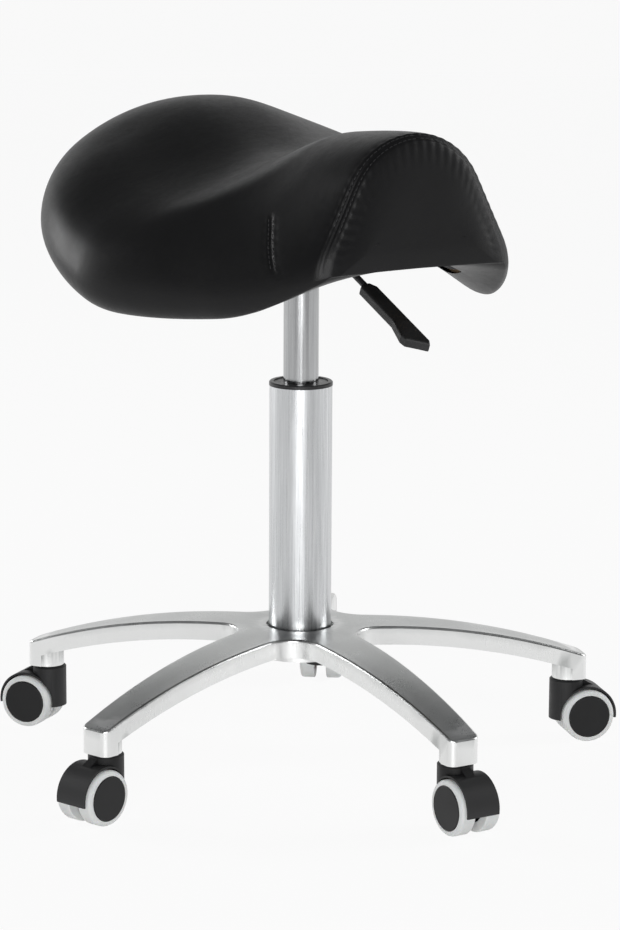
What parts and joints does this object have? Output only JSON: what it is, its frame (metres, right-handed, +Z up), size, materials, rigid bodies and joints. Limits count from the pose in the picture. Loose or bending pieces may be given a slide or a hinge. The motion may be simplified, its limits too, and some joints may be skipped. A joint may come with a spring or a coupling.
{
  "type": "saddle stool",
  "caption": "Height-adjustable saddle stool with a stitched leather seat, gas lift, brushed column and a star base on twin-wheel casters.",
  "frame": {"origin": "on the floor, on the axis of the column", "axes": "+Z up; -Y towards the pommel, the seat's front; +X across the seat"},
  "size_m": [0.5114, 0.4863, 0.5199],
  "materials": {
    "brushed_aluminium": "brushed, with bright edges",
    "column_steel": "fine vertical brushing",
    "cylinder_steel": "satin chrome",
    "rod_steel": "ground",
    "bearing_steel": "ground",
    "zinc_steel": "zinc plated",
    "plate_black": "black powder coat",
    "bush_plastic": "satin black",
    "grip_plastic": "satin black",
    "caster_plastic": "satin black, finely textured",
    "tread_white": "matt white",
    "black_rubber": "matt",
    "cage_nylon": "natural nylon",
    "cover_leather": "semi-gloss, fine grain, double stitched seams",
    "foam": "open-cell foam",
    "plywood": "unfinished moulded plywood",
    "cloth": "woven dust cloth"
  },
  "bodies": {
    "base": {"base_casting": "brushed_aluminium", "column_tube": "column_steel", "guide_bush": "bush_plastic", "bearing_lower_race": "bearing_steel", "caster_stems": "zinc_steel", "stem_grip_rings": "zinc_steel"},
    "swivel_rod": {"piston_rod": "rod_steel", "piston": "rod_steel", "piston_seal": "black_rubber", "bearing_balls": "bearing_steel", "bearing_cage": "cage_nylon", "bearing_upper_race": "bearing_steel", "rubber_bumper": "black_rubber", "rod_clip": "zinc_steel"},
    "seat": {"gas_cylinder": "cylinder_steel", "cylinder_gland": "bush_plastic", "valve_body": "zinc_steel", "seat_plate": "plate_black", "lever_pivot_pin": "zinc_steel", "seat_pan": "plywood", "seat_foam": "foam", "seat_cover": "cover_leather", "plate_bolts": "zinc_steel", "bolt_washers": "zinc_steel", "tee_nuts": "zinc_steel", "underside_cloth": "cloth"},
    "lever": {"lever_rod": "plate_black", "lever_grip": "grip_plastic"},
    "valve_pin": {"release_pin": "zinc_steel"},
    "caster_1": {"caster_hood_1": "caster_plastic", "caster_axle_1": "zinc_steel"},
    "wheel_left_1": {"wheel_core_left_1": "caster_plastic", "tread_left_1": "tread_white"},
    "wheel_right_1": {"wheel_core_right_1": "caster_plastic", "tread_right_1": "tread_white"},
    "caster_2": {"caster_hood_2": "caster_plastic", "caster_axle_2": "zinc_steel"},
    "wheel_left_2": {"wheel_core_left_2": "caster_plastic", "tread_left_2": "tread_white"},
    "wheel_right_2": {"wheel_core_right_2": "caster_plastic", "tread_right_2": "tread_white"},
    "caster_3": {"caster_hood_3": "caster_plastic", "caster_axle_3": "zinc_steel"},
    "wheel_left_3": {"wheel_core_left_3": "caster_plastic", "tread_left_3": "tread_white"},
    "wheel_right_3": {"wheel_core_right_3": "caster_plastic", "tread_right_3": "tread_white"},
    "caster_4": {"caster_hood_4": "caster_plastic", "caster_axle_4": "zinc_steel"},
    "wheel_left_4": {"wheel_core_left_4": "caster_plastic", "tread_left_4": "tread_white"},
    "wheel_right_4": {"wheel_core_right_4": "caster_plastic", "tread_right_4": "tread_white"},
    "caster_5": {"caster_hood_5": "caster_plastic", "caster_axle_5": "zinc_steel"},
    "wheel_left_5": {"wheel_core_left_5": "caster_plastic", "tread_left_5": "tread_white"},
    "wheel_right_5": {"wheel_core_right_5": "caster_plastic", "tread_right_5": "tread_white"}
  },
  "joints": [
    {"name": "seat_swivel", "type": "hinge", "parent": "base", "child": "swivel_rod", "pos_m": [0, 0, 0.094], "axis": [0, 0, 1], "continuous": true},
    {"name": "height_lift", "type": "slide", "parent": "swivel_rod", "child": "seat", "axis": [0, 0, 1], "range_m": [-0.07, 0.06]},
    {"name": "lever_pull", "type": "hinge", "parent": "seat", "child": "lever", "pos_m": [0, -0.026, 0.418], "axis": [-1, 0, 0], "range_deg": [0, 7.8], "stiffness_Nm_per_rad": 12},
    {"name": "valve_press", "type": "slide", "parent": "seat", "child": "valve_pin", "axis": [0, 0, -1], "range_m": [0, 0.0039]},
    {"name": "caster_swivel_1", "type": "hinge", "parent": "base", "child": "caster_1", "pos_m": [0, -0.226, 0.051], "axis": [0, 0, 1], "continuous": true},
    {"name": "wheel_spin_left_1", "type": "hinge", "parent": "caster_1", "child": "wheel_left_1", "pos_m": [0, -0.24, 0.0215], "axis": [1, 0, 0], "continuous": true},
    {"name": "wheel_spin_right_1", "type": "hinge", "parent": "caster_1", "child": "wheel_right_1", "pos_m": [0, -0.24, 0.0215], "axis": [1, 0, 0], "continuous": true},
    {"name": "caster_swivel_2", "type": "hinge", "parent": "base", "child": "caster_2", "pos_m": [0.21494, -0.06984, 0.051], "axis": [0, 0, 1], "continuous": true},
    {"name": "wheel_spin_left_2", "type": "hinge", "parent": "caster_2", "child": "wheel_left_2", "pos_m": [0.22825, -0.07416, 0.0215], "axis": [0.309, 0.9511, 0], "continuous": true},
    {"name": "wheel_spin_right_2", "type": "hinge", "parent": "caster_2", "child": "wheel_right_2", "pos_m": [0.22825, -0.07416, 0.0215], "axis": [0.309, 0.9511, 0], "continuous": true},
    {"name": "caster_swivel_3", "type": "hinge", "parent": "base", "child": "caster_3", "pos_m": [0.13284, 0.18284, 0.051], "axis": [0, 0, 1], "continuous": true},
    {"name": "wheel_spin_left_3", "type": "hinge", "parent": "caster_3", "child": "wheel_left_3", "pos_m": [0.14107, 0.19416, 0.0215], "axis": [-0.809, 0.5878, 0], "continuous": true},
    {"name": "wheel_spin_right_3", "type": "hinge", "parent": "caster_3", "child": "wheel_right_3", "pos_m": [0.14107, 0.19416, 0.0215], "axis": [-0.809, 0.5878, 0], "continuous": true},
    {"name": "caster_swivel_4", "type": "hinge", "parent": "base", "child": "caster_4", "pos_m": [-0.13284, 0.18284, 0.051], "axis": [0, 0, 1], "continuous": true},
    {"name": "wheel_spin_left_4", "type": "hinge", "parent": "caster_4", "child": "wheel_left_4", "pos_m": [-0.14107, 0.19416, 0.0215], "axis": [-0.809, -0.5878, 0], "continuous": true},
    {"name": "wheel_spin_right_4", "type": "hinge", "parent": "caster_4", "child": "wheel_right_4", "pos_m": [-0.14107, 0.19416, 0.0215], "axis": [-0.809, -0.5878, 0], "continuous": true},
    {"name": "caster_swivel_5", "type": "hinge", "parent": "base", "child": "caster_5", "pos_m": [-0.21494, -0.06984, 0.051], "axis": [0, 0, 1], "continuous": true},
    {"name": "wheel_spin_left_5", "type": "hinge", "parent": "caster_5", "child": "wheel_left_5", "pos_m": [-0.22825, -0.07416, 0.0215], "axis": [0.309, -0.9511, 0], "continuous": true},
    {"name": "wheel_spin_right_5", "type": "hinge", "parent": "caster_5", "child": "wheel_right_5", "pos_m": [-0.22825, -0.07416, 0.0215], "axis": [0.309, -0.9511, 0], "continuous": true}
  ],
  "couplings": [
    {"joint": "valve_press", "follows": "lever_pull", "m_per_rad": 0.0285}
  ]
}
